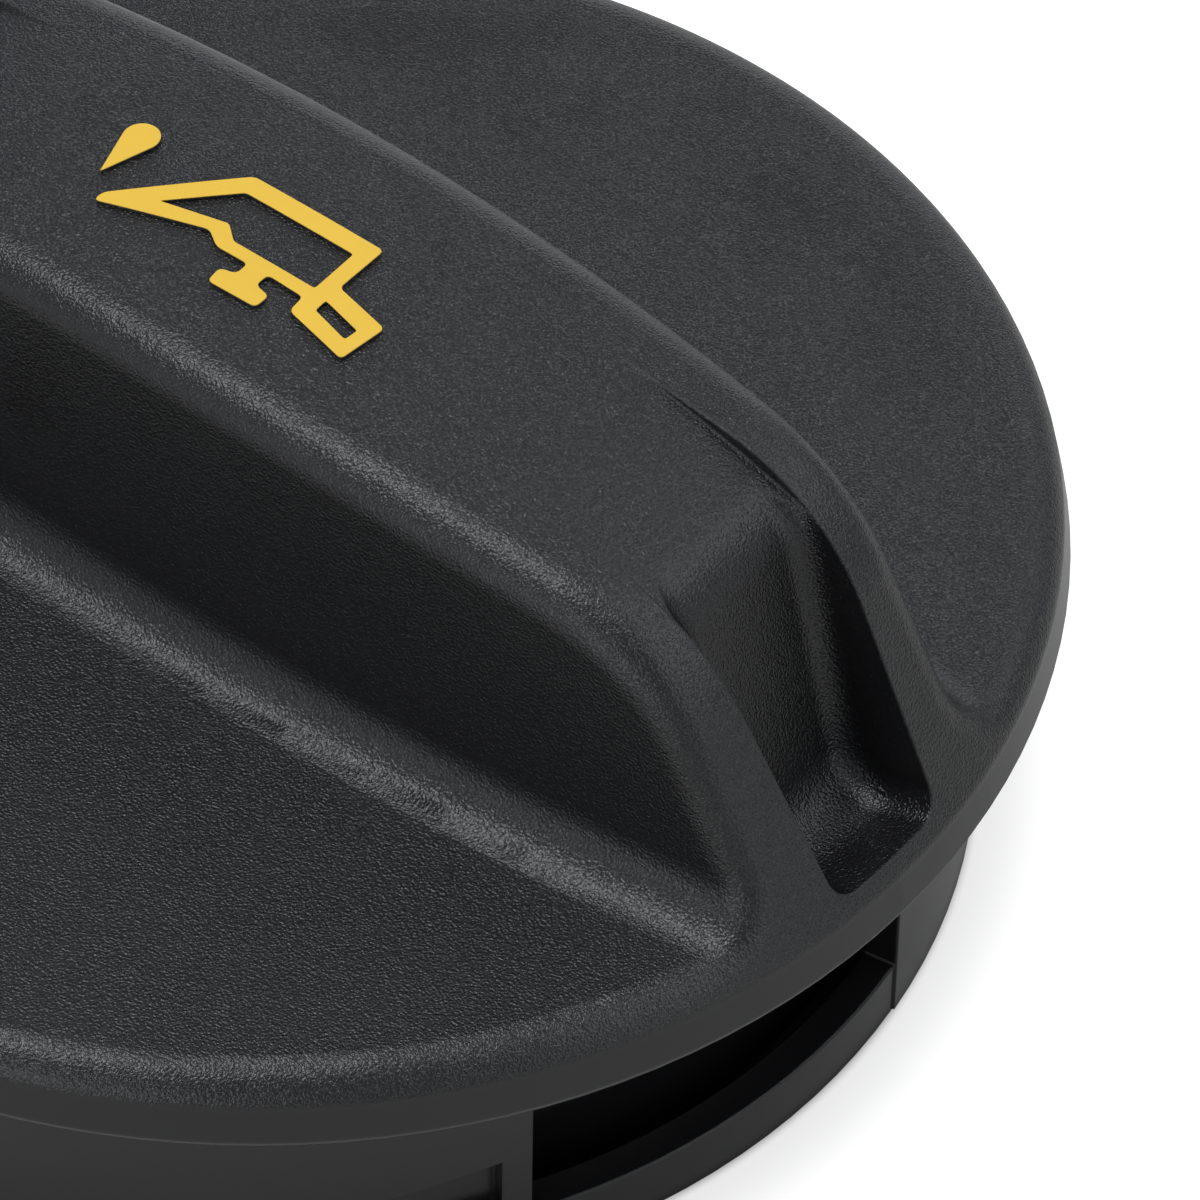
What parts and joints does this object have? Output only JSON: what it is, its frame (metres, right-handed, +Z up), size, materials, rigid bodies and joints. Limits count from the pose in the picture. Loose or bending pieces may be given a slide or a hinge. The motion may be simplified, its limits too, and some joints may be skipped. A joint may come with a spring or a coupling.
{
  "type": "oil filler cap",
  "caption": "Round black moulded engine oil filler cap with a raised bar handle, scooped handle ends, windowed skirt, bayonet barrel and rubber seal.",
  "frame": {"origin": "on the cap's axis, on the plane that it stands on", "axes": "+Z up along the cap's axis, +X along the bar handle"},
  "size_m": [0.072, 0.072, 0.0331],
  "materials": {
    "black_plastic": "fine moulded grain, satin",
    "seal_rubber": "matt rubber",
    "yellow_foil": "satin printed foil"
  },
  "bodies": {
    "root": {"cap_body": "black_plastic", "seal_ring": "seal_rubber"}
  },
  "joints": []
}
